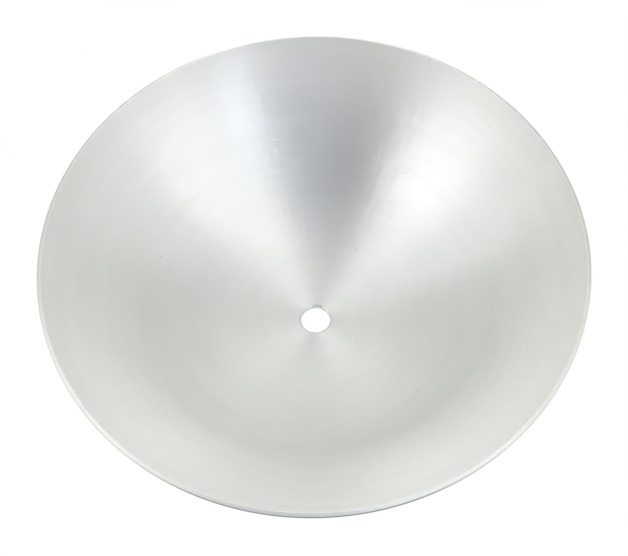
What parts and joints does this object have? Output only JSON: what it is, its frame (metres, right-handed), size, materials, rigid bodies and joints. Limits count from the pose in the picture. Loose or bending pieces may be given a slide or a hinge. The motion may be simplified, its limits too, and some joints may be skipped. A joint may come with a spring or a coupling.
{
  "type": "bell cymbal",
  "caption": "Deep round bell cymbal spun from thick satin aluminium: an open bowl with a flat crown, a central mounting hole and a rim rounded over on its outside.",
  "frame": {"origin": "on the bell's axis, in the plane of the crown's flat outer face, which is its lowest point as it lies mouth up", "axes": "+Z along the bell's axis, from the crown to the open mouth"},
  "size_m": [0.2278, 0.2278, 0.0562],
  "materials": {
    "spun_aluminium": "satin, brushed in fine circles round the axis"
  },
  "bodies": {
    "root": {"bell": "spun_aluminium"}
  },
  "joints": []
}
